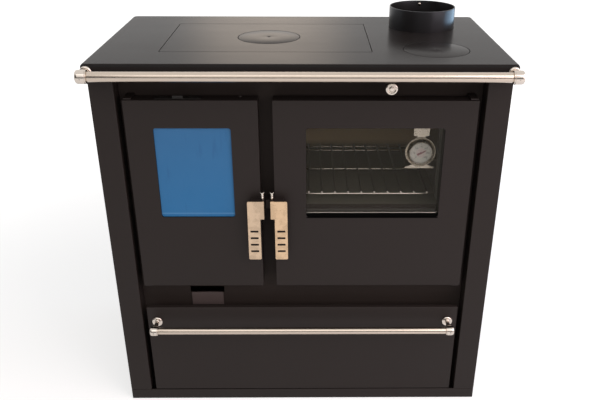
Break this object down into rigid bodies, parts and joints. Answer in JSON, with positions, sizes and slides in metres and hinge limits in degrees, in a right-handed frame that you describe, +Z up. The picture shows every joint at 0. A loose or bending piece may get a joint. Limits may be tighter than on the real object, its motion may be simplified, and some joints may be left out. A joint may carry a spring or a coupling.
{
  "type": "wood cookstove",
  "caption": "Free-standing wood cookstove with a fire door and a glazed oven door side by side, a log drawer below, a flat lift-out hob, a towel rail and a round flue collar.",
  "frame": {"origin": "on the floor, at the centre of the plinth footprint", "axes": "+Z up, +X to the right as seen from the front, +Y towards the back; the doors and the rails face -Y"},
  "size_m": [0.861, 0.536, 0.8972],
  "materials": {
    "black_paint": "fine satin black stove paint",
    "recess_paint": "matt black stove paint",
    "hob_steel": "ground steel, satin",
    "cast_iron": "cast, matt",
    "stainless": "satin stainless",
    "chrome": "bright",
    "galvanised": "dull sheet steel",
    "firebrick": "fired clay, matt",
    "rope_seal": "braided rope",
    "blue_glass": "blue, nearly opaque",
    "clear_glass": "clear, faint smoke tint",
    "dial_paper": "printed scale",
    "red_paint": "red lacquer"
  },
  "bodies": {
    "stove": {"plinth": "black_paint", "side_panel_left": "black_paint", "side_panel_right": "black_paint", "pilaster_left": "black_paint", "pilaster_right": "black_paint", "back_panel": "black_paint", "fire_door_hinge_top": "black_paint", "fire_door_hinge_bottom": "black_paint", "oven_door_hinge_top": "black_paint", "oven_door_hinge_bottom": "black_paint", "latch_keeper": "black_paint", "front_plate": "recess_paint", "hob_frame": "hob_steel", "flue_collar": "cast_iron", "fire_shell": "cast_iron", "grate": "cast_iron", "smoke_baffle": "cast_iron", "top_rail": "stainless", "thermometer_case": "stainless", "top_rail_bracket_left": "chrome", "top_rail_bracket_right": "chrome", "oven_rack_lower": "chrome", "oven_rack_upper": "chrome", "ash_pan": "galvanised", "oven_box": "galvanised", "rack_runner_left": "galvanised", "rack_runner_right": "galvanised", "drawer_runner_left": "galvanised", "drawer_runner_right": "galvanised", "firebrick_left": "firebrick", "firebrick_right": "firebrick", "firebrick_back": "firebrick", "thermometer_dial": "dial_paper"},
    "fire_door": {"fire_door": "black_paint", "fire_door_frame": "cast_iron", "fire_door_glass": "blue_glass", "fire_door_gasket": "rope_seal", "fire_handle_bracket": "black_paint", "fire_handle_pin": "stainless"},
    "oven_door": {"oven_door": "black_paint", "oven_door_frame": "cast_iron", "oven_door_glass": "clear_glass", "oven_door_gasket": "rope_seal", "oven_handle_bracket": "black_paint", "oven_handle_pin": "stainless"},
    "fire_handle": {"fire_handle": "stainless"},
    "oven_handle": {"oven_handle": "stainless"},
    "air_regulator": {"air_regulator": "black_paint"},
    "air_shutter": {"air_shutter": "black_paint"},
    "drawer": {"drawer_front": "black_paint", "drawer_box": "galvanised", "drawer_rail": "stainless", "drawer_rail_bracket_left": "chrome", "drawer_rail_bracket_right": "chrome"},
    "damper": {"damper": "galvanised", "damper_knob": "chrome"},
    "hob_plate": {"hob_plate": "hob_steel"},
    "hob_disc": {"hob_disc": "hob_steel"},
    "smoke_disc": {"smoke_disc": "hob_steel"},
    "needle": {"thermometer_needle": "red_paint"}
  },
  "joints": [
    {"name": "fire_door_hinge", "type": "hinge", "parent": "stove", "child": "fire_door", "pos_m": [-0.353, -0.215, 0.55], "axis": [0, 0, -1], "range_deg": [0, 110]},
    {"name": "oven_door_hinge", "type": "hinge", "parent": "stove", "child": "oven_door", "pos_m": [0.353, -0.215, 0.55], "axis": [0, 0, 1], "range_deg": [0, 110]},
    {"name": "fire_handle_pivot", "type": "hinge", "parent": "fire_door", "child": "fire_handle", "pos_m": [-0.0843, -0.238, 0.534], "axis": [0, 0, 1], "range_deg": [0, 12]},
    {"name": "oven_handle_pivot", "type": "hinge", "parent": "oven_door", "child": "oven_handle", "pos_m": [-0.0637, -0.238, 0.534], "axis": [0, 0, -1], "range_deg": [0, 12]},
    {"name": "air_regulator_slide", "type": "slide", "parent": "fire_door", "child": "air_regulator", "axis": [1, 0, 0], "range_m": [-0.012, 0.012]},
    {"name": "air_shutter_slide", "type": "slide", "parent": "stove", "child": "air_shutter", "axis": [0, 0, 1], "range_m": [0, 0.016]},
    {"name": "drawer_slide", "type": "slide", "parent": "stove", "child": "drawer", "axis": [0, -1, 0], "range_m": [0, 0.33]},
    {"name": "damper_slide", "type": "slide", "parent": "stove", "child": "damper", "axis": [0, -1, 0], "range_m": [0, 0.08]},
    {"name": "hob_plate_lift", "type": "slide", "parent": "stove", "child": "hob_plate", "axis": [0, 0, 1], "range_m": [0, 0.06]},
    {"name": "hob_disc_lift", "type": "slide", "parent": "hob_plate", "child": "hob_disc", "axis": [0, 0, 1], "range_m": [0, 0.04]},
    {"name": "smoke_disc_lift", "type": "slide", "parent": "stove", "child": "smoke_disc", "axis": [0, 0, 1], "range_m": [0, 0.04]},
    {"name": "needle_turn", "type": "hinge", "parent": "stove", "child": "needle", "pos_m": [0.261, -0.16, 0.6335], "axis": [0, 1, 0], "range_deg": [-198, 72]}
  ]
}
